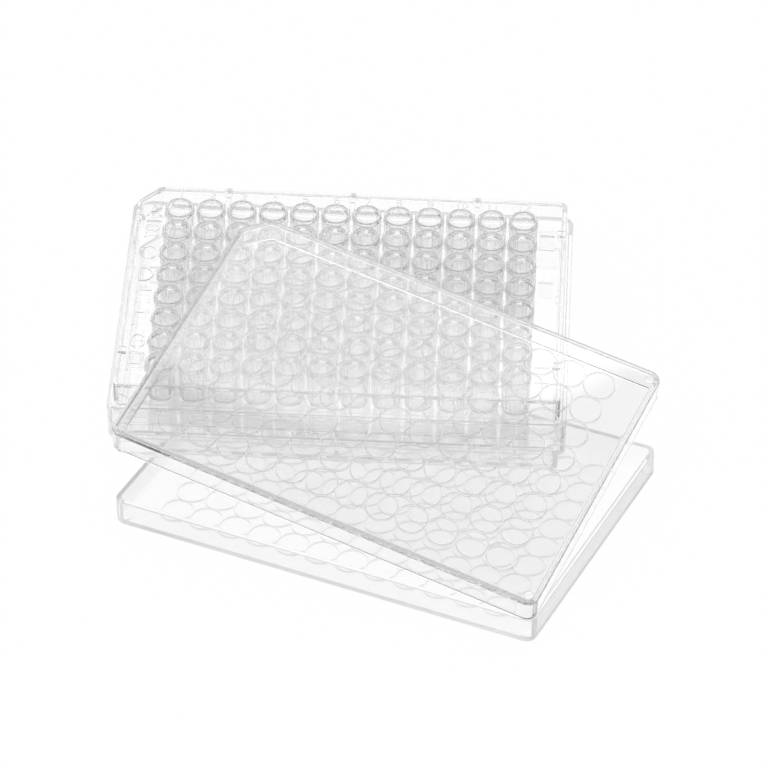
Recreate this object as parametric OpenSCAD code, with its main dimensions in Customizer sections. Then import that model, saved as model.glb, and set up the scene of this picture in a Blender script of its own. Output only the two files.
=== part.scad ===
// Clear 96-well microplate with its loose lid, both injection moulded.
// The plate stands on its base skirt. The lid leans on it: two edges of the lid's skirt lie
// across the plate's front and right rims, and the lid's far corner stands on the bench.
// Origin: centre of the plate's footprint, on the bench. X runs along a row from column 1 to
// column 12, Y from row H to row A, Z up.

/* [Footprint] */
// Length of the plate's base, along a row
plate_l = 127.76; // [124:0.01:132]
// Width of the plate's base, across the rows
plate_w = 85.48; // [85.48:0.01:90]
// Height of the plate, from the bench to the well rims
plate_h = 14.35; // [14.2:0.05:16]
// Corner radius of the base skirt
base_corner_r = 3.18; // [2:0.01:4]

/* [Base skirt] */
// Height of the base skirt
skirt_h = 6.0; // [4:0.1:7.6]
// Width of the ledge between the skirt and the upper wall
ledge_w = 1.9; // [1.5:0.05:2]
// Thickness of the skirt, the ledge and the side walls
wall_t = 1.15; // [0.9:0.05:1.4]

/* [Upper wall and deck] */
// How far the rim stands below the well rims
rim_drop = 0.85; // [0.5:0.05:0.85]
// How far the deck lies below the rim
deck_drop = 0.4; // [0.2:0.05:1]
// Thickness of the deck
deck_t = 1.0; // [0.8:0.05:1.5]
// Corner radius of the upper wall
wall_corner_r = 2.0; // [1.5:0.1:3]
// Leg of the chamfer that marks corner A1
chamfer = 6.3; // [4:0.1:8]

/* [Wells] */
// Number of rows
rows = 8; // [4:1:8]
// Number of columns
columns = 12; // [6:1:12]
// Distance between neighbouring wells
pitch = 9.0; // [8.9:0.05:9]
// Bore of a well at its mouth
mouth_d = 6.9; // [6.4:0.05:7.1]
// Bore of a well at its floor
floor_d = 6.4; // [6:0.05:6.6]
// Depth of a well
well_depth = 10.7; // [9:0.1:11]
// Thickness of a well's floor
floor_t = 1.25; // [1:0.05:1.4]
// Thickness of a well's wall
tube_t = 0.76; // [0.6:0.02:0.85]

/* [Marks and lugs] */
// Height of the row letters
letter_h = 5.0; // [3:0.1:6]
// Height of the column numbers
number_h = 2.3; // [1.5:0.1:2.6]
// How far letters and numbers stand above the deck
mark_z = 0.15; // [0.1:0.05:0.3]
// Side of the square lugs on the rim
lug = 2.2; // [1.6:0.1:2.4]
// How far the lugs stand above the rim
lug_z = 0.7; // [0.3:0.05:0.8]
// Thickness of the ribs under the deck
rib_t = 1.1; // [0.8:0.1:1.4]

/* [Lid] */
// Height of the lid
lid_h = 8.0; // [7.5:0.1:9]
// Thickness of the lid's panel
lid_panel_t = 1.05; // [0.8:0.05:1.3]
// Thickness of the lid's skirt
lid_wall_t = 1.5; // [1.2:0.05:1.6]
// How much the edge around the panel is eased
lid_edge = 0.7; // [0.3:0.05:1]
// Radius of the condensation rings, at the middle of the ring
ring_r = 4.47; // [4.2:0.01:4.47]
// Width of a condensation ring
ring_w = 0.4; // [0.3:0.05:0.5]
// Height of a condensation ring
ring_z = 0.4; // [0.2:0.05:0.6]
// Diameter of the round nubs under the lid's corners
nub_d = 2.7; // [2:0.1:3]

/* [Leaning lid] */
// Turn of the lid about the vertical
lid_yaw = -22.37; // [-23.5:0.01:-18]
// Where the plate's front rim crosses the lid's left edge, from the middle of that edge
left_contact = -19.3; // [-26:0.1:-18]
// Where the plate's right rim crosses the lid's back edge, from the middle of that edge
back_contact = 34.2; // [28:0.1:38]
// Air left between the lid and what it rests on
rest_gap = 0.05; // [0.04:0.01:0.15]

/* [Hidden] */
$fn = 48;
clear_plastic = [0.93, 0.94, 0.95, 0.45];
lid_plastic = [0.88, 0.9, 0.92, 0.45];

// Heights on the plate
rim_top = plate_h - rim_drop;
deck_top = rim_top - deck_drop;
deck_bottom = deck_top - deck_t;
well_floor = plate_h - well_depth;
tube_bottom = well_floor - floor_t;
ledge_bottom = skirt_h - wall_t;
lug_top = rim_top + lug_z;

// Plan sizes on the plate
wall_l = plate_l - 2 * ledge_w;
wall_w = plate_w - 2 * ledge_w;
last_x = (columns - 1) / 2 * pitch;
last_y = (rows - 1) / 2 * pitch;
mouth_r = mouth_d / 2;
floor_r = floor_d / 2;
tube_r = floor_r + tube_t;
tube_flare = 0.25;
rim_w = 0.71;
rim_ease = 0.24;
rim_foot = 0.2;
rim_r = mouth_r + rim_w;
floor_fillet = 0.4;
least_r = 0.8;
cut = 1;

// Lugs and ribs stand at these places along the long and the short rims
long_stations = [-4, 0, 4] * pitch;
short_stations = [-3, 3] * pitch;
lug_inset = 0.35;
rib_clearance = 0.4;
rib_bottom = skirt_h + rib_clearance;
side_rib_gap = 2.2;
side_rib_l = 4.2;
web_r = 5;

// Marks
letters = "ABCDEFGH";
letter_gap = 7.2;
number_gap = 6.8;
letter_w = 0.72 * letter_h;
number_w = 0.58 * number_h;
letter_stroke = 0.5;
number_stroke = 0.32;
mark_gap = 2.2;
bow_steps = 6;
letter_x = -last_x - letter_gap;
number_y = last_y + number_gap;

// Lid
lid_corner_r = base_corner_r;
lid_chamfer = 7;
nub_inset = [2.9, 3.15];
nub_z = 0.3;
lid_in_l = plate_l - 2 * lid_wall_t;
lid_in_w = plate_w - 2 * lid_wall_t;
panel_bottom = lid_h - lid_panel_t;
nub_x = plate_l / 2 - nub_inset.x;
nub_y = plate_w / 2 - nub_inset.y;

// A rectangle centred on the origin with rounded corners, and a 45 degree chamfer of the
// given leg in place of the corner at -X, +Y. A leg of 0 rounds that corner too.
module outline(l, w, r, leg) {
    difference() {
        union() {
            square([l - 2 * r, w], center = true);
            square([l, w - 2 * r], center = true);
            for (x = [-1, 1], y = [-1, 1])
                translate([x * (l / 2 - r), y * (w / 2 - r)]) circle(r);
        }
        if (leg > 0)
            translate([-l / 2, w / 2]) rotate(45) square(leg * sqrt(2), center = true);
    }
}

// The band between an outline and the same outline moved inward by t
module band(l, w, r, leg, t) {
    difference() {
        outline(l, w, r, leg);
        outline(l - 2 * t, w - 2 * t, max(r - t, least_r), inner_leg(leg, t));
    }
}

// Leg of a chamfer after its outline is moved inward by t, so that the wall stays t thick
function inner_leg(leg, t) = leg > 0 ? leg - t * (2 - sqrt(2)) : 0;

module at_wells() {
    for (column = [0 : columns - 1], row = [0 : rows - 1])
        translate([column * pitch - last_x, row * pitch - last_y, 0]) children();
}

// One stroke of a letter, from a to b
module bar(a, b, t) {
    d = b - a;
    translate(a) rotate(atan2(d.y, d.x)) translate([-t / 2, -t / 2]) square([norm(d) + t, t]);
}

// One curved stroke, about c, from angle a0 to a1
module bow(c, r, a0, a1, t) {
    translate(c) intersection() {
        difference() {
            circle(r + t / 2);
            circle(r - t / 2);
        }
        polygon(concat([[0, 0]], [for (i = [0 : bow_steps])
            let (a = a0 + (a1 - a0) * i / bow_steps) 2 * r * [cos(a), sin(a)]]));
    }
}

// The strokes of a letter or digit in a cell w wide and h high: [x0, y0, x1, y1] is a
// straight stroke, and [cx, cy, r, from, to] is a curved one.
function glyph(c, w, h) =
    let (m = w / 2, q = h / 4)
    c == "A" ? [[0, 0, m, h], [m, h, w, 0], [w / 5, h / 3, w * 4 / 5, h / 3]] :
    c == "B" ? [[0, 0, 0, h], [0, 0, w - q, 0], [0, h / 2, w - q, h / 2], [0, h, w - q, h],
                [w - q, q, q, -90, 90], [w - q, 3 * q, q, -90, 90]] :
    c == "C" ? [[0, m, 0, h - m], [m, h - m, m, 30, 180], [m, m, m, 180, 330]] :
    c == "D" ? [[0, 0, 0, h], [0, 0, w - 2 * q, 0], [0, h, w - 2 * q, h],
                [w - 2 * q, h / 2, 2 * q, -90, 90]] :
    c == "E" ? [[0, 0, 0, h], [0, 0, w, 0], [0, h / 2, w * 0.9, h / 2], [0, h, w, h]] :
    c == "F" ? [[0, 0, 0, h], [0, h / 2, w * 0.9, h / 2], [0, h, w, h]] :
    c == "G" ? [[0, m, 0, h - m], [m, h - m, m, 30, 180], [m, m, m, 180, 360],
                [m, h / 2, w, h / 2], [w, h / 2, w, m]] :
    c == "H" ? [[0, 0, 0, h], [w, 0, w, h], [0, h / 2, w, h / 2]] :
    c == "1" ? [[m, 0, m, h]] :
    c == "2" ? [[m, h - m, m, 0, 180], [w, h - m, 0, 0], [0, 0, w, 0]] :
    c == "3" ? [[w - q, q, q, -90, 90], [w - q, 3 * q, q, -90, 90], [0, 0, w - q, 0],
                [q, h / 2, w - q, h / 2], [0, h, w - q, h]] :
    c == "4" ? [[w * 0.7, 0, w * 0.7, h], [w * 0.7, h, 0, h / 3], [0, h / 3, w, h / 3]] :
    c == "5" ? [[w - q, q, q, -90, 90], [0, 0, w - q, 0], [0, h / 2, w - q, h / 2],
                [0, h / 2, 0, h], [0, h, w, h]] :
    c == "6" ? [[m, m, m, 0, 180], [m, m, m, 180, 360], [0, m, 0, h - m],
                [m, h - m, m, 40, 180]] :
    c == "7" ? [[0, h, w, h], [w, h, w / 4, 0]] :
    c == "8" ? [[m, q, q, 0, 180], [m, q, q, 180, 360], [m, 3 * q, q, 0, 180],
                [m, 3 * q, q, 180, 360]] :
    c == "9" ? [[m, h - m, m, 0, 180], [m, h - m, m, 180, 360], [w, m, w, h - m],
                [m, m, m, 220, 360]] :
    [[m, m, m, 180, 360], [m, h - m, m, 0, 180], [0, m, 0, h - m], [w, m, w, h - m]];

// A word centred on the origin
module mark(word, w, h, t) {
    step = w + mark_gap * t;
    for (i = [0 : len(word) - 1])
        translate([(i - (len(word) - 1) / 2) * step - w / 2, -h / 2])
            for (s = glyph(word[i], w, h))
                if (len(s) == 4) bar([s[0], s[1]], [s[2], s[3]], t);
                else bow([s[0], s[1]], s[2], s[3], s[4], t);
}

module marks() {
    translate([0, 0, deck_top - mark_z]) linear_extrude(2 * mark_z) {
        for (i = [0 : rows - 1])
            translate([letter_x, last_y - i * pitch])
                mark(letters[i], letter_w, letter_h, letter_stroke);
        for (i = [0 : columns - 1])
            translate([i * pitch - last_x, number_y])
                mark(str(i + 1), number_w, number_h, number_stroke);
    }
}

// The outside of one well: a tube that widens upward to the deck, and a narrow raised rim
// with eased edges above it
module well_outside() {
    rotate_extrude() polygon([
        [0, tube_bottom],
        [tube_r, tube_bottom],
        [tube_r + tube_flare, deck_bottom],
        [rim_r + rim_foot, deck_top],
        [rim_r, deck_top + rim_foot],
        [rim_r, plate_h - rim_ease],
        [rim_r - rim_ease, plate_h],
        [0, plate_h]
    ]);
}

module well_bore() {
    rotate_extrude() polygon([
        [0, well_floor],
        [floor_r - floor_fillet, well_floor],
        [floor_r, well_floor + floor_fillet],
        [mouth_r, plate_h - rim_ease],
        [mouth_r + rim_ease, plate_h],
        [mouth_r + rim_ease, plate_h + cut],
        [0, plate_h + cut]
    ]);
}

// The stepped base: an outer skirt, and the ledge that joins it to the upper wall
module base_skirt() {
    linear_extrude(skirt_h) band(plate_l, plate_w, base_corner_r, 0, wall_t);
    translate([0, 0, ledge_bottom]) linear_extrude(wall_t) difference() {
        outline(plate_l - wall_t, plate_w - wall_t, base_corner_r - wall_t / 2, 0);
        outline(wall_l - 2 * wall_t, wall_w - 2 * wall_t, least_r, inner_leg(chamfer, wall_t));
    }
}

module upper_wall() {
    translate([0, 0, ledge_bottom]) linear_extrude(rim_top - ledge_bottom)
        band(wall_l, wall_w, wall_corner_r, chamfer, wall_t);
    translate([0, 0, deck_bottom]) linear_extrude(deck_t)
        outline(wall_l - wall_t, wall_w - wall_t, least_r, inner_leg(chamfer, wall_t / 2));
}

// Square lugs that stand on the rim and step down to the deck
module lugs() {
    reach_x = wall_l / 2 - lug_inset - lug / 2;
    reach_y = wall_w / 2 - lug_inset - lug / 2;
    spots = concat([for (x = long_stations, s = [-1, 1]) [x, s * reach_y]],
                   [for (y = short_stations, s = [-1, 1]) [s * reach_x, y]]);
    for (p = spots)
        translate([p.x, p.y, (deck_bottom + lug_top) / 2])
            cube([lug, lug, lug_top - deck_bottom], center = true);
}

// Ribs under the deck, from the wall toward the wells, and the web in corner H1
module ribs() {
    rib_h = deck_bottom - rib_bottom + deck_t / 2;
    long_rib_l = wall_w / 2 - wall_t / 2 - last_y;
    for (x = long_stations, s = [-1, 1])
        translate([x, s * (last_y + long_rib_l / 2), rib_bottom + rib_h / 2])
            cube([rib_t, long_rib_l, rib_h], center = true);
    for (y = short_stations, s = [-1, 1])
        translate([s * (wall_l / 2 - wall_t - side_rib_gap - side_rib_l / 2), y,
                   rib_bottom + rib_h / 2])
            cube([side_rib_l, rib_t, rib_h], center = true);
    translate([0, 0, ledge_bottom]) linear_extrude(wall_t) intersection() {
        translate([-wall_l / 2, -wall_w / 2]) circle(web_r);
        outline(wall_l - wall_t, wall_w - wall_t, least_r, 0);
    }
}

module plate() {
    color(clear_plastic) difference() {
        union() {
            base_skirt();
            upper_wall();
            lugs();
            ribs();
            marks();
            at_wells() well_outside();
        }
        at_wells() well_bore();
    }
}

// The lid in its own frame: its lower edge lies at z = 0. Its outline may be moved inward.
module lid_outline(inset) {
    outline(plate_l - 2 * inset, plate_w - 2 * inset, max(lid_corner_r - inset, least_r),
            inner_leg(lid_chamfer, inset));
}

module lid_shell() {
    difference() {
        hull() {
            linear_extrude(lid_h - lid_edge) lid_outline(0);
            linear_extrude(lid_h) lid_outline(lid_edge);
        }
        translate([0, 0, -cut]) linear_extrude(panel_bottom + cut) lid_outline(lid_wall_t);
    }
}

// Condensation rings, one over each well
module lid_rings() {
    at_wells() translate([0, 0, panel_bottom - ring_z]) difference() {
        cylinder(r = ring_r + ring_w / 2, h = ring_z + lid_panel_t / 2);
        translate([0, 0, -cut]) cylinder(r = ring_r - ring_w / 2, h = ring_z + cut);
    }
}

// Round nubs under three corners, none at the chamfer
module lid_nubs() {
    for (p = [[nub_x, nub_y], [nub_x, -nub_y], [-nub_x, -nub_y]])
        translate([p.x, p.y, panel_bottom - nub_z])
            cylinder(d = nub_d, h = nub_z + lid_panel_t / 2);
}

// The lean. The lid's lower edge lies in the plane z = tz - slope.x * x + slope.y * y of the
// lid's own frame. That plane passes through three points: the skirt's inner edge where it
// crosses the two rims, both at rim height, and the lowest point of corner H12 on the bench.
left_point = [-lid_in_l / 2, left_contact];
back_point = [back_contact, lid_in_w / 2];
function corner_point(slope) =
    [plate_l / 2 - lid_corner_r, lid_corner_r - plate_w / 2]
    + lid_corner_r * [slope.x, -slope.y] / norm(slope);
function slope_for(corner) =
    let (k = (back_point.y - left_point.y) / (back_point.x - left_point.x),
         b = rim_top / ((left_point.y - corner.y) + k * (corner.x - left_point.x)))
    [k * b, b];
slope = slope_for(corner_point(slope_for(corner_point([1, 1]))));
lid_pitch = asin(slope.x);
lid_roll = asin(slope.y / cos(lid_pitch));
lid_lift = rim_top + rest_gap + slope.x * left_point.x - slope.y * left_point.y;

// A point of the lid's lower edge after the lid has been rolled, pitched and turned
function turned(p) =
    let (u = p.x * cos(lid_pitch) + p.y * sin(lid_pitch) * sin(lid_roll),
         v = p.y * cos(lid_roll))
    [u * cos(lid_yaw) - v * sin(lid_yaw), u * sin(lid_yaw) + v * cos(lid_yaw)];
lid_x = wall_l / 2 - turned(back_point).x;
lid_y = -wall_w / 2 - turned(left_point).y;

module lid() {
    color(lid_plastic)
        translate([lid_x, lid_y, lid_lift]) rotate([lid_roll, lid_pitch, lid_yaw]) {
            lid_shell();
            lid_rings();
            lid_nubs();
        }
}

plate();
lid();
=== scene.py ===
import math

import bmesh
import bpy
from mathutils import Euler, Matrix, Vector


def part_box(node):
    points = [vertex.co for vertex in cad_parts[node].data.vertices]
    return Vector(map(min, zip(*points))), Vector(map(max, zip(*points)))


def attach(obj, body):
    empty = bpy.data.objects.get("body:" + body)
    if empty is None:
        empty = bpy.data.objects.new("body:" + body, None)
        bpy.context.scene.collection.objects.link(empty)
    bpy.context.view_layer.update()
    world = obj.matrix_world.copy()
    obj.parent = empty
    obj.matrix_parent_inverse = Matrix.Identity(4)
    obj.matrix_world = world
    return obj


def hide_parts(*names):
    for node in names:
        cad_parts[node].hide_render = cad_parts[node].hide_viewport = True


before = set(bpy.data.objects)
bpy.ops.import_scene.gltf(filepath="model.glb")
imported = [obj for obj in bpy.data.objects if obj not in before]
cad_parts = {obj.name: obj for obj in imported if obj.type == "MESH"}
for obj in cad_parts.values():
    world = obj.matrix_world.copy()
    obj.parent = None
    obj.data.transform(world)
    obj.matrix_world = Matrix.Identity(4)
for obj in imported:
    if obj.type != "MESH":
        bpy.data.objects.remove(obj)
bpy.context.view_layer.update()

# Clear 96-well microplate with its loose lid leaning on it. Everything is built in
# millimetres in the frame of the CAD part and becomes metres in new_piece().
MM = 0.001

# Plate: the footprint and the height are the CAD node's own, the rest are the part's sizes
plate_low, plate_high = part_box("plate")
PLATE_L = (plate_high.x - plate_low.x) / MM
PLATE_W = (plate_high.y - plate_low.y) / MM
PLATE_H = plate_high.z / MM
ROWS, COLUMNS, PITCH = 8, 12, 9.0
LAST_X = (COLUMNS - 1) / 2 * PITCH
LAST_Y = (ROWS - 1) / 2 * PITCH
SKIRT_H, LEDGE_W, WALL_T = 6.0, 1.9, 1.15
RIM_TOP = PLATE_H - 0.85
DECK_TOP = RIM_TOP - 0.4
DECK_BOTTOM = DECK_TOP - 1.0
LEDGE_BOTTOM = SKIRT_H - WALL_T
WALL_L, WALL_W = PLATE_L - 2 * LEDGE_W, PLATE_W - 2 * LEDGE_W
BASE_CORNER, WALL_CORNER, CHAMFER = 3.18, 2.0, 6.3
CHAMFER_ROUND, LEAST_ROUND = 1.0, 0.4
DECK_CAP_INSET = WALL_T + 1.0

# Wells
MOUTH_R, FLOOR_R = 3.45, 3.2
WELL_FLOOR = PLATE_H - 10.7
TUBE_BOTTOM = WELL_FLOOR - 1.25
TUBE_R, TUBE_FLARE = FLOOR_R + 0.76, 0.25
RIM_OUT, RIM_BEAD, RIM_FOOT = MOUTH_R + 0.71, 0.34, 0.2
RIM_FOOT_LOW, RIM_FOOT_HIGH = DECK_TOP - 0.05, DECK_TOP + 0.03
BEAD_START, BEAD_POINTS = 15, 6
TUBE_ROUND, FLOOR_ROUND = 0.3, 0.4
WELL_CAP_R = 0.8

# Marks, lugs and ribs
LETTERS = "ABCDEFGH"
LETTER_H, LETTER_W, LETTER_STROKE = 5.0, 3.6, 0.5
NUMBER_H, NUMBER_W, NUMBER_STROKE = 2.3, 1.33, 0.32
MARK_Z, MARK_SLOPE, MARK_FOOT_Z = 0.2, 0.08, DECK_TOP - 0.01
MARK_GAP = 2.2
BOW_POINTS = 12
LETTER_X, NUMBER_Y = -LAST_X - 7.2, LAST_Y + 6.8
LUG, LUG_Z, LUG_INSET, LUG_SINK = 2.2, 0.7, 0.35, 0.5
LONG_STATIONS = [-4 * PITCH, 0.0, 4 * PITCH]
SHORT_STATIONS = [-3 * PITCH, 3 * PITCH]
RIB_T, RIB_BOTTOM, RIB_TOP = 1.1, SKIRT_H + 0.4, DECK_BOTTOM + 0.3
LONG_RIB_START = LAST_Y + 3.6
SIDE_RIB_GAP, SIDE_RIB_L = 2.2, 4.2
WEB_R, WEB_INSET = 5.0, 0.06
LUG_EASE, RIB_EASE = 0.14, 0.1

# Lid, in its own frame: its lower edge lies at z = 0
LID_H, LID_PANEL_T, LID_WALL_T = 8.0, 1.05, 1.5
LID_ROUND, LID_INNER_ROUND = 1.2, 0.5
PANEL_BOTTOM = LID_H - LID_PANEL_T
LID_CHAMFER = 7.0
LID_CAP_INSET = 3.5
RING_R, RING_W, RING_Z, RING_ROUND = 4.47, 0.4, 0.4, 0.14
NUB_R, NUB_Z, NUB_ROUND, NUB_CAP_R = 1.35, 0.3, 0.1, 0.3
RING_ROOT, NUB_ROOT = PANEL_BOTTOM + 0.3, PANEL_BOTTOM + 0.5
NUB_X, NUB_Y = PLATE_L / 2 - 2.9, PLATE_W / 2 - 3.15

# How the lid leans, as in the CAD part: two edges of its skirt lie on two rims of the plate
LID_YAW = -22.37
LEFT_CONTACT, BACK_CONTACT, REST_GAP = -19.3, 34.2, 0.05

# Cutting solids reach this far past what they cut
CUT = 1.0

# Smoothness of the curves. From each of the two fillet radii on, a fillet has more steps.
ARC_POINTS = 5
FILLET_STEPS = 3
MIDDLE_FILLET, LARGE_FILLET = 0.33, 1.0
WEB_POINTS = 12
WELL_SIDES = 48
RING_SIDES = 64
SMOOTH_BELOW = math.radians(38)
WELD, NORMAL_WEIGHT = 1e-7, 90


# ---------------------------------------------------------------- outlines and solids

def arc(cx, cy, r, a0, a1, count):
    """Points of an arc from angle a0 to a1 in degrees."""
    angles = [math.radians(a0 + (a1 - a0) * i / (count - 1)) for i in range(count)]
    return [(cx + r * math.cos(a), cy + r * math.sin(a)) for a in angles]


def outline(length, width, radius, leg):
    """A rectangle with rounded corners, anticlockwise. With a leg, a 45 degree chamfer with
    rounded ends takes the place of corner -X, +Y. The number of points is always the same."""
    x, y = length / 2, width / 2
    points = arc(x - radius, y - radius, radius, 0, 90, 2 * ARC_POINTS)
    if leg > 0:
        ease = min(CHAMFER_ROUND, leg / 2)
        run = ease * math.tan(math.radians(22.5))
        points += arc(-x + leg + run, y - ease, ease, 90, 135, ARC_POINTS)
        points += arc(-x + ease, y - leg - run, ease, 135, 180, ARC_POINTS)
    else:
        points += arc(-x + radius, y - radius, radius, 90, 180, 2 * ARC_POINTS)
    points += arc(-x + radius, -y + radius, radius, 180, 270, 2 * ARC_POINTS)
    points += arc(x - radius, -y + radius, radius, 270, 360, 2 * ARC_POINTS)
    return points


def inner_leg(leg, t):
    """Leg of a chamfer after its outline is moved inward by t."""
    return leg - t * (2 - math.sqrt(2)) if leg > 0 else 0


def rounded(corners):
    """Replaces each corner (u, z, radius) of an open section by an arc. The result holds
    (u, z, corner number), and corners with radius 0 stay sharp."""
    result = []
    for i, (u, z, r) in enumerate(corners):
        if r == 0 or i in (0, len(corners) - 1):
            result.append((u, z, i))
            continue
        here = Vector((u, z))
        back = (Vector(corners[i - 1][:2]) - here).normalized()
        ahead = (Vector(corners[i + 1][:2]) - here).normalized()
        half = back.angle(ahead) / 2
        centre = here + (back + ahead).normalized() * (r / math.sin(half))
        start = here + back * (r / math.tan(half)) - centre
        turn = start.angle_signed(here + ahead * (r / math.tan(half)) - centre)
        steps = FILLET_STEPS * (1 if r < MIDDLE_FILLET else 2 if r < LARGE_FILLET else 4)
        for k in range(steps + 1):
            spoke = start.copy()
            spoke.rotate(Matrix.Rotation(-turn * k / steps, 2))
            result.append((centre.x + spoke.x, centre.y + spoke.y, i))
    return result


def skin(bm, loops, closed=False):
    """Faces between loops of equally many points, and a cap on the first and last loop."""
    rings = [[bm.verts.new(p) for p in loop] for loop in loops]
    pairs = list(zip(rings, rings[1:] + rings[:1])) if closed else list(zip(rings, rings[1:]))
    for a, b in pairs:
        count = len(a)
        for i in range(count):
            j = (i + 1) % count
            bm.faces.new((a[i], a[j], b[j], b[i]))
    if not closed:
        bm.faces.new(list(reversed(rings[0])))
        bm.faces.new(rings[-1])


def shell(bm, corners):
    """A moulded shell from its section. Each corner is (outline, offset, inset, z, radius):
    outline is (length, width, corner radius, leg), and offset is how far that outline lies
    inside the shell's largest one."""
    section = rounded([(offset + inset, z, r) for _, offset, inset, z, r in corners])
    loops = []
    for u, z, i in section:
        (length, width, radius, leg), offset = corners[i][0], corners[i][1]
        t = u - offset
        points = outline(length - 2 * t, width - 2 * t, max(radius - t, LEAST_ROUND),
                         inner_leg(leg, t))
        loops.append([(x, y, z) for x, y in points])
    skin(bm, loops)


def turned_solid(bm, section, x, y, sides, closed=False):
    """A solid of revolution about the vertical through x, y. section holds (radius, z)."""
    spokes = [(math.cos(2 * math.pi * k / sides), math.sin(2 * math.pi * k / sides))
              for k in range(sides)]
    skin(bm, [[(x + r * c, y + r * s, z) for c, s in spokes] for r, z in section], closed)


def block(bm, low, high, ease):
    """A box, with its edges rounded by ease."""
    made = bmesh.ops.create_cube(bm, size=1)["verts"]
    for v in made:
        v.co = Vector(l + (h - l) * (c + 0.5) for l, h, c in zip(low, high, v.co))
    edges = list({e for v in made for e in v.link_edges})
    bmesh.ops.bevel(bm, geom=edges, offset=ease, segments=2, profile=0.5, affect="EDGES")


def new_solid(name, build):
    """A temporary object in millimetres whose mesh build() fills."""
    bm = bmesh.new()
    build(bm)
    bmesh.ops.recalc_face_normals(bm, faces=bm.faces)
    mesh = bpy.data.meshes.new(name)
    bm.to_mesh(mesh)
    bm.free()
    obj = bpy.data.objects.new(name, mesh)
    bpy.context.scene.collection.objects.link(obj)
    return obj


def combine(base, other, operation):
    """base becomes its union or difference with other, and other is removed."""
    modifier = base.modifiers.new("combine", "BOOLEAN")
    modifier.operation = operation
    modifier.solver = "MANIFOLD"
    modifier.object = other
    bpy.context.view_layer.update()
    result = bpy.data.meshes.new_from_object(base.evaluated_get(
        bpy.context.evaluated_depsgraph_get()))
    base.modifiers.clear()
    base.data = result
    bpy.data.objects.remove(other)


def new_piece(base, name, matrix, materials, node, finish=lambda face: 0):
    mesh = base.data
    mesh.transform(Matrix.Scale(MM, 4) @ matrix)
    mesh.materials.clear()
    for material in materials:
        mesh.materials.append(material)
    bm = bmesh.new()
    bm.from_mesh(mesh)
    bmesh.ops.remove_doubles(bm, verts=bm.verts, dist=WELD)
    bmesh.ops.triangulate(bm, faces=[f for f in bm.faces if len(f.verts) > 4])
    for edge in bm.edges:
        edge.smooth = edge.is_manifold and edge.calc_face_angle() < SMOOTH_BELOW
    for face in bm.faces:
        face.smooth = True
        face.material_index = finish(face)
    bm.to_mesh(mesh)
    bm.free()
    base.name = mesh.name = name
    weighted = base.modifiers.new("even_shading", "WEIGHTED_NORMAL")
    weighted.keep_sharp = True
    weighted.weight = NORMAL_WEIGHT
    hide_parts(node)
    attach(base, "root")


# ---------------------------------------------------------------- lettering

def bar(a, b, t):
    """One straight stroke of a letter, from a to b."""
    a, b = Vector(a), Vector(b)
    along = (b - a).normalized() * t / 2 if a != b else Vector((t / 2, 0))
    across = Vector((-along.y, along.x))
    return [tuple(p) for p in (a - along - across, b + along - across,
                               b + along + across, a - along + across)]


def bow(cx, cy, r, a0, a1, t):
    """One curved stroke about cx, cy from angle a0 to a1."""
    return (arc(cx, cy, r + t / 2, a0, a1, BOW_POINTS)
            + list(reversed(arc(cx, cy, r - t / 2, a0, a1, BOW_POINTS))))


def glyph(c, w, h):
    """Strokes of a letter or digit: (x0, y0, x1, y1) is straight, (cx, cy, r, a0, a1) curved."""
    m, q = w / 2, h / 4
    return {
        "A": [(0, 0, m, h), (m, h, w, 0), (w / 5, h / 3, w * 4 / 5, h / 3)],
        "B": [(0, 0, 0, h), (0, 0, w - q, 0), (0, h / 2, w - q, h / 2), (0, h, w - q, h),
              (w - q, q, q, -90, 90), (w - q, 3 * q, q, -90, 90)],
        "C": [(0, m, 0, h - m), (m, h - m, m, 30, 180), (m, m, m, 180, 330)],
        "D": [(0, 0, 0, h), (0, 0, w - 2 * q, 0), (0, h, w - 2 * q, h),
              (w - 2 * q, h / 2, 2 * q, -90, 90)],
        "E": [(0, 0, 0, h), (0, 0, w, 0), (0, h / 2, w * 0.9, h / 2), (0, h, w, h)],
        "F": [(0, 0, 0, h), (0, h / 2, w * 0.9, h / 2), (0, h, w, h)],
        "G": [(0, m, 0, h - m), (m, h - m, m, 30, 180), (m, m, m, 180, 360),
              (m, h / 2, w, h / 2), (w, h / 2, w, m)],
        "H": [(0, 0, 0, h), (w, 0, w, h), (0, h / 2, w, h / 2)],
        "1": [(m, 0, m, h)],
        "2": [(m, h - m, m, 0, 180), (w, h - m, 0, 0), (0, 0, w, 0)],
        "3": [(w - q, q, q, -90, 90), (w - q, 3 * q, q, -90, 90), (0, 0, w - q, 0),
              (q, h / 2, w - q, h / 2), (0, h, w - q, h)],
        "4": [(w * 0.7, 0, w * 0.7, h), (w * 0.7, h, 0, h / 3), (0, h / 3, w, h / 3)],
        "5": [(w - q, q, q, -90, 90), (0, 0, w - q, 0), (0, h / 2, w - q, h / 2),
              (0, h / 2, 0, h), (0, h, w, h)],
        "6": [(m, m, m, 0, 180), (m, m, m, 180, 360), (0, m, 0, h - m), (m, h - m, m, 40, 180)],
        "7": [(0, h, w, h), (w, h, w / 4, 0)],
        "8": [(m, q, q, 0, 180), (m, q, q, 180, 360), (m, 3 * q, q, 0, 180),
              (m, 3 * q, q, 180, 360)],
        "9": [(m, h - m, m, 0, 180), (m, h - m, m, 180, 360), (w, m, w, h - m),
              (m, m, m, 220, 360)],
        "0": [(m, m, m, 180, 360), (m, h - m, m, 0, 180), (0, m, 0, h - m), (w, m, w, h - m)],
    }[c]


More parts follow.
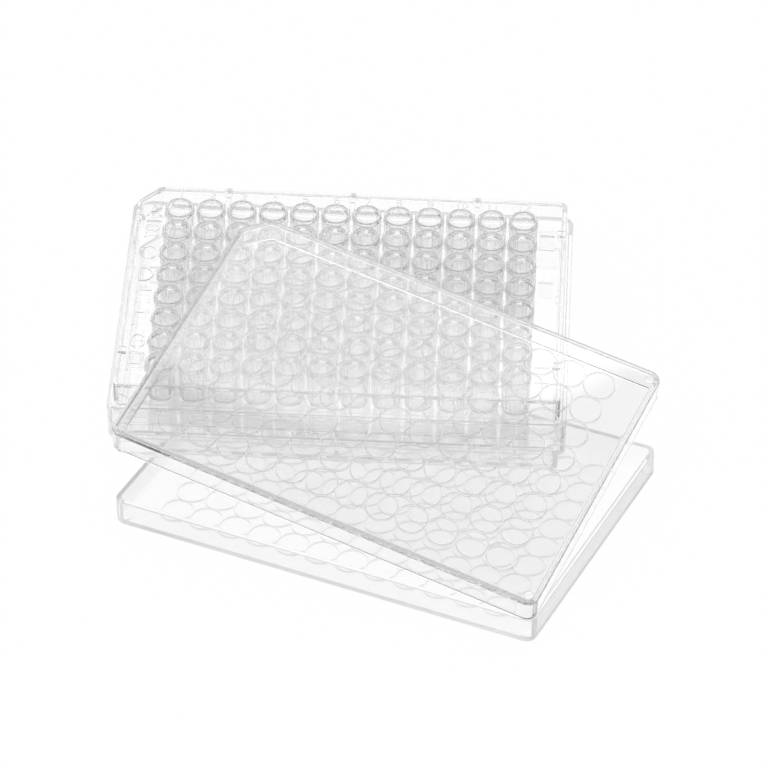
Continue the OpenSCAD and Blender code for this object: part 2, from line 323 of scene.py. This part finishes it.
def word(text, x, y, w, h, t):
    """Stroke shapes of a word centred on x, y, in the order in which they are drawn: each is
    (stroke number, its foot, its narrower top)."""
    step = w + MARK_GAP * t
    shapes = []
    for i, c in enumerate(text):
        left = x + (i - (len(text) - 1) / 2) * step - w / 2
        for k, s in enumerate(glyph(c, w, h)):
            foot, top = [bar(s[:2], s[2:], wide) if len(s) == 4 else bow(*s, wide)
                         for wide in (t + MARK_SLOPE, t - MARK_SLOPE)]
            shapes.append((k, *[[(px + left, py + y - h / 2) for px, py in points]
                                for points in (foot, top)]))
    return shapes


def marks():
    """Row letters and column numbers as one raised solid."""
    shapes = []
    for i in range(ROWS):
        shapes += word(LETTERS[i], LETTER_X, LAST_Y - i * PITCH, LETTER_W, LETTER_H,
                       LETTER_STROKE)
    for i in range(COLUMNS):
        shapes += word(str(i + 1), i * PITCH - LAST_X, NUMBER_Y, NUMBER_W, NUMBER_H,
                       NUMBER_STROKE)

    # Strokes with the same number never meet, so each number is one solid of its own
    def layer(k):
        def build(bm):
            for number, foot, top in shapes:
                if number == k:
                    levels = ((foot, DECK_TOP - MARK_Z), (foot, MARK_FOOT_Z),
                              (top, DECK_TOP + MARK_Z))
                    skin(bm, [[(x, y, z) for x, y in points] for points, z in levels])
        return new_solid("strokes", build)

    whole = layer(0)
    for k in range(1, 1 + max(shape[0] for shape in shapes)):
        combine(whole, layer(k), "UNION")
    return whole


# ---------------------------------------------------------------- plate

SKIRT_OUTLINE = (PLATE_L, PLATE_W, BASE_CORNER, 0)
WALL_OUTLINE = (WALL_L, WALL_W, WALL_CORNER, CHAMFER)
BEAD_MARGIN, DECK_MARGIN = 0.05, 0.3


def well_places():
    """Centres of the wells, row by row from A1."""
    return [(c * PITCH - LAST_X, LAST_Y - r * PITCH) for r in range(ROWS) for c in range(COLUMNS)]


def plate_shell(bm):
    """Deck, rim, upper wall, ledge and skirt. The last number of a corner is its rounding."""
    shell(bm, [
        (WALL_OUTLINE, LEDGE_W, DECK_CAP_INSET, DECK_TOP, 0),
        (WALL_OUTLINE, LEDGE_W, WALL_T, DECK_TOP, 0.12),
        (WALL_OUTLINE, LEDGE_W, WALL_T, RIM_TOP, 0.14),
        (WALL_OUTLINE, LEDGE_W, 0, RIM_TOP, 0.22),
        (WALL_OUTLINE, LEDGE_W, 0, SKIRT_H, 0.25),
        (SKIRT_OUTLINE, 0, 0, SKIRT_H, 0.35),
        (SKIRT_OUTLINE, 0, 0, 0, 0.2),
        (SKIRT_OUTLINE, 0, WALL_T, 0, 0.15),
        (SKIRT_OUTLINE, 0, WALL_T, LEDGE_BOTTOM, 0.3),
        (WALL_OUTLINE, LEDGE_W, WALL_T, LEDGE_BOTTOM, 0.3),
        (WALL_OUTLINE, LEDGE_W, WALL_T, DECK_BOTTOM, 0.3),
        (WALL_OUTLINE, LEDGE_W, DECK_CAP_INSET, DECK_BOTTOM, 0),
    ])


def well_outsides(bm):
    """The tubes that hang below the deck, and the beaded rims that stand above it."""
    section = [(u, z) for u, z, _ in rounded([
        (WELL_CAP_R, TUBE_BOTTOM, 0),
        (TUBE_R, TUBE_BOTTOM, TUBE_ROUND),
        (TUBE_R + TUBE_FLARE, DECK_BOTTOM, 0),
        (RIM_OUT + RIM_FOOT, RIM_FOOT_LOW, 0),
        (RIM_OUT, RIM_FOOT_HIGH, RIM_FOOT),
        (RIM_OUT, PLATE_H, RIM_BEAD),
        (MOUTH_R, PLATE_H, 0),
    ])]
    for x, y in well_places():
        turned_solid(bm, section, x, y, WELL_SIDES)


def well_bores(bm):
    """What is cut out of the wells: the tapered bore, and the inside of the rim's bead."""
    section = [(u, z) for u, z, _ in rounded([
        (WELL_CAP_R, WELL_FLOOR, 0),
        (FLOOR_R, WELL_FLOOR, FLOOR_ROUND),
        (MOUTH_R, PLATE_H - RIM_BEAD, 0),
    ])]
    section += [(MOUTH_R + RIM_BEAD - u, PLATE_H - RIM_BEAD + v)
                for u, v in arc(0, 0, RIM_BEAD, BEAD_START, 90, BEAD_POINTS)]
    section += [(MOUTH_R + RIM_BEAD, PLATE_H + CUT)]
    for x, y in well_places():
        turned_solid(bm, section, x, y, WELL_SIDES)


def lugs_and_ribs(bm):
    """Square lugs on the rims, ribs under the deck, and the web in corner H1."""
    reach_x = WALL_L / 2 - LUG_INSET - LUG / 2
    reach_y = WALL_W / 2 - LUG_INSET - LUG / 2
    spots = [(x, s * reach_y) for x in LONG_STATIONS for s in (-1, 1)]
    spots += [(s * reach_x, y) for y in SHORT_STATIONS for s in (-1, 1)]
    for x, y in spots:
        block(bm, (x - LUG / 2, y - LUG / 2, DECK_TOP - LUG_SINK),
              (x + LUG / 2, y + LUG / 2, RIM_TOP + LUG_Z), LUG_EASE)
    for x in LONG_STATIONS:
        for s in (-1, 1):
            near, far = sorted((s * LONG_RIB_START, s * (WALL_W / 2 - WALL_T / 2)))
            block(bm, (x - RIB_T / 2, near, RIB_BOTTOM), (x + RIB_T / 2, far, RIB_TOP), RIB_EASE)
    for y in SHORT_STATIONS:
        for s in (-1, 1):
            outer = WALL_L / 2 - WALL_T - SIDE_RIB_GAP
            near, far = sorted((s * (outer - SIDE_RIB_L), s * outer))
            block(bm, (near, y - RIB_T / 2, RIB_BOTTOM), (far, y + RIB_T / 2, RIB_TOP), RIB_EASE)
    corner = (-WALL_L / 2 + WALL_T / 2, -WALL_W / 2 + WALL_T / 2)
    web = [corner] + arc(*corner, WEB_R - WALL_T / 2, 0, 90, WEB_POINTS)
    skin(bm, [[(x, y, z) for x, y in web] for z in (LEDGE_BOTTOM + WEB_INSET, SKIRT_H - WEB_INSET)])


def in_painted_shade_wells(face):
    """1 for the walls and floors of the wells, which get the darker tint of painted shade, and 0
    for the rest of the plate. The rims' beads and the deck's upper face belong to the rest."""
    place = face.calc_center_median() / MM
    below = place.z < PLATE_H - RIM_BEAD - BEAD_MARGIN
    off_deck = abs(place.z - DECK_TOP) > DECK_MARGIN
    among = abs(place.x) < COLUMNS * PITCH / 2 and abs(place.y) < ROWS * PITCH / 2
    return int(below and off_deck and among)


def plate(materials):
    """The plate, with one material for its body and one, tinted darker as painted shade, for the
    walls and floors of wells.
    """
    body = new_solid("plate_body", plate_shell)
    combine(body, new_solid("lugs_and_ribs", lugs_and_ribs), "UNION")
    combine(body, marks(), "UNION")
    combine(body, new_solid("well_outsides", well_outsides), "UNION")
    combine(body, new_solid("well_bores", well_bores), "DIFFERENCE")
    new_piece(body, "clear_plate", Matrix.Identity(4), materials, "plate",
              in_painted_shade_wells)


# ---------------------------------------------------------------- lid

LID_OUTLINE = (PLATE_L, PLATE_W, BASE_CORNER, LID_CHAMFER)


def lid_shell(bm):
    """Panel and skirt. The last number of a corner is its rounding."""
    shell(bm, [
        (LID_OUTLINE, 0, LID_CAP_INSET, LID_H, 0),
        (LID_OUTLINE, 0, 0, LID_H, LID_ROUND),
        (LID_OUTLINE, 0, 0, 0, 0.25),
        (LID_OUTLINE, 0, LID_WALL_T, 0, 0.2),
        (LID_OUTLINE, 0, LID_WALL_T, PANEL_BOTTOM, LID_INNER_ROUND),
        (LID_OUTLINE, 0, LID_CAP_INSET, PANEL_BOTTOM, 0),
    ])


def lid_rings(parity):
    """Every second condensation ring: neighbours overlap, so they are joined in two turns."""
    inner, outer = RING_R - RING_W / 2, RING_R + RING_W / 2
    lower = PANEL_BOTTOM - RING_Z
    section = [(inner, RING_ROOT)]
    section += [(u, z) for u, z, _ in rounded([
        (inner, PANEL_BOTTOM, 0), (inner, lower, RING_ROUND), (outer, lower, RING_ROUND),
        (outer, PANEL_BOTTOM, 0)])]
    section += [(outer, RING_ROOT)]

    def build(bm):
        for i, (x, y) in enumerate(well_places()):
            if (i // COLUMNS + i % COLUMNS) % 2 == parity:
                turned_solid(bm, section, x, y, RING_SIDES, closed=True)
    return new_solid("rings", build)


def lid_nubs(bm):
    """Round nubs under three corners, none at the chamfer."""
    for x, y in ((NUB_X, NUB_Y), (NUB_X, -NUB_Y), (-NUB_X, -NUB_Y)):
        section = [(u, z) for u, z, _ in rounded([
            (NUB_CAP_R, PANEL_BOTTOM - NUB_Z, 0), (NUB_R, PANEL_BOTTOM - NUB_Z, NUB_ROUND),
            (NUB_R, NUB_ROOT, 0), (NUB_CAP_R, NUB_ROOT, 0)])]
        turned_solid(bm, section, x, y, WELL_SIDES)


def lid_matrix():
    """Where the lid lies. Its lower edge is the plane z = lift - slope.x * x + slope.y * y of
    its own frame, through the two crossings at rim height and the lowest corner at z = 0."""
    left = Vector((-PLATE_L / 2 + LID_WALL_T, LEFT_CONTACT))
    back = Vector((BACK_CONTACT, PLATE_W / 2 - LID_WALL_T))

    def slope_for(corner):
        k = (back.y - left.y) / (back.x - left.x)
        b = RIM_TOP / ((left.y - corner.y) + k * (corner.x - left.x))
        return Vector((k * b, b))

    slope = Vector((1, 1))
    for _ in range(3):
        toward = Vector((slope.x, -slope.y)).normalized() * BASE_CORNER
        slope = slope_for(Vector((PLATE_L / 2 - BASE_CORNER, BASE_CORNER - PLATE_W / 2)) + toward)
    pitch = math.asin(slope.x)
    roll = math.asin(slope.y / math.cos(pitch))
    turn = Euler((roll, pitch, math.radians(LID_YAW))).to_matrix()
    x = WALL_L / 2 - (turn @ back.to_3d()).x
    y = -WALL_W / 2 - (turn @ left.to_3d()).y
    lift = RIM_TOP + REST_GAP + slope.x * left.x - slope.y * left.y
    return Matrix.Translation((x, y, lift)) @ turn.to_4x4()


def lid(materials):
    """The lid, leaning on the plate."""
    body = new_solid("lid_body", lid_shell)
    combine(body, lid_rings(0), "UNION")
    combine(body, lid_rings(1), "UNION")
    combine(body, new_solid("nubs", lid_nubs), "UNION")
    new_piece(body, "clear_lid", lid_matrix(), materials, "lid")


# ---------------------------------------------------------------- materials

# Clear polystyrene. A tint is its pale and its deep shade of grey.
IOR = 1.59
CLEAR_TINT, CLEAR_ROUGHNESS, CLEAR_WAVE = (0.999, 0.993), 0.01, 0.01
# Walls and floors of the wells: a deeper tint than the body's, which is painted shade in the wells,
# and more roughness and draw marks
WELL_PAINTED_SHADE_TINT, WELL_ROUGHNESS, WELL_WAVE = (0.997, 0.985), 0.015, 1.0
CLOUD_SCALE, CLOUD_LOW, CLOUD_HIGH = 55.0, 0.3, 0.7
LEAST_POLISH, MOST_POLISH = 1.4, 0.6
DRAW_SCALE, DRAW_STRETCH, DRAW_DEPTH = 700.0, 0.04, 0.0005
UPRIGHT_BELOW, LEVEL_ABOVE = 0.15, 0.35


def add_node(tree, kind, inputs=None, **settings):
    """A new shader node. inputs maps a socket's name or number to a value or to a socket
    that feeds it."""
    node = tree.nodes.new(kind)
    for key, value in settings.items():
        setattr(node, key, value)
    for key, value in (inputs or {}).items():
        if isinstance(value, bpy.types.NodeSocket):
            tree.links.new(value, node.inputs[key])
        else:
            node.inputs[key].default_value = value
    return node


def new_material(name):
    """An empty node material and its tree."""
    material = bpy.data.materials.new(name)
    material.use_nodes = True
    material.node_tree.nodes.clear()
    return material, material.node_tree


def clear_plastic(name, tint_range, roughness, wave):
    """Moulded clear polystyrene. wave is how strongly the draw marks ripple its upright
    walls."""
    pale, deep = tint_range
    material, tree = new_material(name)
    place = add_node(tree, "ShaderNodeTexCoord").outputs["Object"]
    cloud = add_node(tree, "ShaderNodeTexNoise",
                     {"Vector": place, "Scale": CLOUD_SCALE, "Detail": 3.0, "Roughness": 0.5})
    tint = add_node(tree, "ShaderNodeValToRGB", {"Fac": cloud.outputs["Fac"]})
    tint.color_ramp.elements[0].position = CLOUD_LOW
    tint.color_ramp.elements[0].color = (deep, deep, deep, 1)
    tint.color_ramp.elements[1].position = CLOUD_HIGH
    tint.color_ramp.elements[1].color = (pale, pale, pale, 1)
    polish = add_node(tree, "ShaderNodeMapRange",
                      {"Value": cloud.outputs["Fac"],
                       "From Min": CLOUD_LOW, "From Max": CLOUD_HIGH,
                       "To Min": roughness * MOST_POLISH, "To Max": roughness * LEAST_POLISH})
    # Draw marks: fine upright streaks, on the upright walls only
    drawn = add_node(tree, "ShaderNodeMapping",
                     {"Vector": place, "Scale": (1.0, 1.0, DRAW_STRETCH)})
    streaks = add_node(tree, "ShaderNodeTexNoise",
                       {"Vector": drawn.outputs[0], "Scale": DRAW_SCALE, "Detail": 3.0,
                        "Roughness": 0.55})
    facing = add_node(tree, "ShaderNodeSeparateXYZ",
                      {"Vector": add_node(tree, "ShaderNodeNewGeometry").outputs["Normal"]})
    level = add_node(tree, "ShaderNodeMath", {0: facing.outputs["Z"]}, operation="ABSOLUTE")
    upright = add_node(tree, "ShaderNodeMapRange",
                       {"Value": level.outputs[0],
                        "From Min": UPRIGHT_BELOW, "From Max": LEVEL_ABOVE,
                        "To Min": 1.0, "To Max": 0.0})
    amount = add_node(tree, "ShaderNodeMath", {0: upright.outputs["Result"], 1: wave},
                      operation="MULTIPLY")
    bump = add_node(tree, "ShaderNodeBump",
                    {"Height": streaks.outputs["Fac"], "Strength": amount.outputs[0],
                     "Distance": DRAW_DEPTH})
    shader = add_node(tree, "ShaderNodeBsdfPrincipled",
                      {"Base Color": tint.outputs["Color"],
                       "Roughness": polish.outputs["Result"], "IOR": IOR,
                       "Transmission Weight": 1.0, "Normal": bump.outputs["Normal"]})
    add_node(tree, "ShaderNodeOutputMaterial", {"Surface": shader.outputs[0]})
    return material


# ---------------------------------------------------------------- studio

# Bench, in metres: it lies a hair below the part, so that their faces don't coincide
FLOOR_SIDE, FLOOR_GAP = 8.0, 0.00002
MIRROR, BENCH_GLOW = 0.5, 1.0
BENCH_WHITE, WHITE_SPREAD, GRAIN_SCALE = 0.08, 0.01, 3.0

# Light of the surround where nothing dims it, and where it is dimmed in full
SKY_BRIGHT, SKY_DARK = 1.2, 0.02

# The surround darkens upward between these heights, in degrees
SKY_FADE_FROM, SKY_FADE_TO = 56.0, 64.0

# Flags: where one starts and where it is full, along its own axis, and how dark it is
RIGHT_FLAG = (0.42, 0.56, 1.0)
LEFT_FLAG = (0.42, 0.56, 0.6)
FRONT_FLAG = (0.3, 0.5, 0.8)

# All that is dark lies between these: each goes from bright to dimmed, in degrees of height
HORIZON, ZENITH = (12.0, 18.0), (84.0, 80.0)

# Bright panel: the height of its middle, its reach and its soft edge in degrees, its light
PANEL_HEIGHT, PANEL_REACH, PANEL_SOFT, PANEL_LIGHT = 57.4, 6.0, 0.5, 1.8


def studio_floor():
    """A bench top, half mirror and half a white glow with a trace of matt white. The glow and
    the bright surround that it mirrors make the open bench white, and the object's mirror
    image darkens it."""
    material, tree = new_material("white_bench")
    place = add_node(tree, "ShaderNodeTexCoord").outputs["Object"]
    grain = add_node(tree, "ShaderNodeTexNoise", {"Vector": place, "Scale": GRAIN_SCALE})
    white = add_node(tree, "ShaderNodeMapRange",
                     {"Value": grain.outputs["Fac"], "To Min": BENCH_WHITE - WHITE_SPREAD,
                      "To Max": BENCH_WHITE + WHITE_SPREAD})
    matt = add_node(tree, "ShaderNodeBsdfDiffuse", {"Color": white.outputs["Result"]})
    glow = add_node(tree, "ShaderNodeEmission", {"Strength": BENCH_GLOW})
    top = add_node(tree, "ShaderNodeAddShader", {0: matt.outputs[0], 1: glow.outputs[0]})
    mirror = add_node(tree, "ShaderNodeBsdfGlossy", {"Roughness": 0.0})
    both = add_node(tree, "ShaderNodeMixShader",
                    {"Fac": MIRROR, 1: top.outputs[0], 2: mirror.outputs[0]})
    add_node(tree, "ShaderNodeOutputMaterial", {"Surface": both.outputs[0]})
    bm = bmesh.new()
    bmesh.ops.create_grid(bm, x_segments=4, y_segments=4, size=FLOOR_SIDE / 2)
    mesh = bpy.data.meshes.new("bench")
    bm.to_mesh(mesh)
    bm.free()
    mesh.materials.append(material)
    floor = bpy.data.objects.new("bench", mesh)
    floor.location.z = -FLOOR_GAP
    bpy.context.scene.collection.objects.link(floor)


def studio_world():
    """What lights the object and is mirrored in it: a bright surround with a dark band high
    up, dark flags at three sides and one bright panel. The camera itself sees plain white."""
    world = bpy.data.worlds.new("studio")
    bpy.context.scene.world = world
    world.use_nodes = True
    tree = world.node_tree
    tree.nodes.clear()
    way = add_node(tree, "ShaderNodeTexCoord").outputs["Generated"]
    parts = add_node(tree, "ShaderNodeSeparateXYZ", {"Vector": way})
    # How dim the surround is: high up, and at the flags to the right, left and front
    overhead = add_node(tree, "ShaderNodeMapRange",
                        {"Value": parts.outputs["Z"],
                         "From Min": math.sin(math.radians(SKY_FADE_FROM)),
                         "From Max": math.sin(math.radians(SKY_FADE_TO))},
                        interpolation_type="SMOOTHSTEP")
    dim = overhead.outputs["Result"]
    for axis, side, (start, full, shade) in (("X", 1, RIGHT_FLAG), ("X", -1, LEFT_FLAG),
                                             ("Y", -1, FRONT_FLAG)):
        flag = add_node(tree, "ShaderNodeMapRange",
                        {"Value": parts.outputs[axis], "From Min": side * start,
                         "From Max": side * full, "To Max": shade},
                        interpolation_type="SMOOTHSTEP")
        dim = add_node(tree, "ShaderNodeMath", {0: dim, 1: flag.outputs["Result"]},
                       operation="MAXIMUM").outputs[0]
    # The horizon and the zenith stay bright
    for start, full in (HORIZON, ZENITH):
        hung = add_node(tree, "ShaderNodeMapRange",
                        {"Value": parts.outputs["Z"], "From Min": math.sin(math.radians(start)),
                         "From Max": math.sin(math.radians(full))},
                        interpolation_type="SMOOTHSTEP")
        dim = add_node(tree, "ShaderNodeMath", {0: dim, 1: hung.outputs["Result"]},
                       operation="MULTIPLY").outputs[0]
    sky = add_node(tree, "ShaderNodeMapRange", {"Value": dim, "To Min": SKY_BRIGHT,
                                                "To Max": SKY_DARK})
    # A bright panel high behind the object: the upper part of the lid mirrors it to the camera
    height = math.radians(PANEL_HEIGHT)
    along = add_node(tree, "ShaderNodeVectorMath",
                     {0: way, 1: (0.0, math.cos(height), math.sin(height))},
                     operation="DOT_PRODUCT")
    inside = add_node(tree, "ShaderNodeMapRange",
                      {"Value": along.outputs["Value"],
                       "From Min": math.cos(math.radians(PANEL_REACH + PANEL_SOFT)),
                       "From Max": math.cos(math.radians(PANEL_REACH)),
                       "To Max": PANEL_LIGHT}, interpolation_type="SMOOTHSTEP")
    lit = add_node(tree, "ShaderNodeMath", {0: sky.outputs["Result"],
                                            1: inside.outputs["Result"]}, operation="MAXIMUM")
    path = add_node(tree, "ShaderNodeLightPath")
    seen = add_node(tree, "ShaderNodeMix",
                    {"Factor": path.outputs["Is Camera Ray"], "A": lit.outputs[0],
                     "B": 1.0})
    light = add_node(tree, "ShaderNodeBackground", {"Color": (1, 1, 1, 1),
                                                    "Strength": seen.outputs["Result"]})
    add_node(tree, "ShaderNodeOutputWorld", {"Surface": light.outputs[0]})


# ---------------------------------------------------------------- camera

CAMERA_DISTANCE = 1.2341
CAMERA_AZIMUTH, CAMERA_ELEVATION, CAMERA_ROLL = 2.958, 45.146, 0.225
CAMERA_TARGET = (0.01238, -0.02263, 0.0)
CAMERA_LENS, SENSOR = 205.8, 36.0
CLIP_NEAR, CLIP_FAR = 0.1, 30.0


def photo_camera():
    """A long lens that looks down at 45 degrees, a little from the right."""
    data = bpy.data.cameras.new("camera")
    data.lens, data.sensor_width = CAMERA_LENS, SENSOR
    data.clip_start, data.clip_end = CLIP_NEAR, CLIP_FAR
    camera = bpy.data.objects.new("camera", data)
    turn = Euler((math.radians(90 - CAMERA_ELEVATION), 0,
                  math.radians(CAMERA_AZIMUTH))).to_matrix()
    turn = turn @ Matrix.Rotation(math.radians(CAMERA_ROLL), 3, "Z")
    place = Vector(CAMERA_TARGET) + turn @ Vector((0, 0, CAMERA_DISTANCE))
    camera.matrix_world = Matrix.Translation(place) @ turn.to_4x4()
    bpy.context.scene.collection.objects.link(camera)
    bpy.context.scene.camera = camera


# ---------------------------------------------------------------- the scene

photo_camera()
studio_floor()
studio_world()
# The wells' plastic is tinted darker than the body's: painted shade
plate([clear_plastic("plate_polystyrene", CLEAR_TINT, CLEAR_ROUGHNESS, CLEAR_WAVE),
       clear_plastic("well_polystyrene_painted_shade", WELL_PAINTED_SHADE_TINT, WELL_ROUGHNESS, WELL_WAVE)])
lid([clear_plastic("lid_polystyrene", CLEAR_TINT, CLEAR_ROUGHNESS, CLEAR_WAVE)])

# Light crosses many walls on its way through the wells
BOUNCES = 48
scene = bpy.context.scene
scene.view_settings.view_transform = "Standard"
scene.cycles.max_bounces = BOUNCES
scene.cycles.transmission_bounces = BOUNCES
scene.cycles.glossy_bounces = BOUNCES
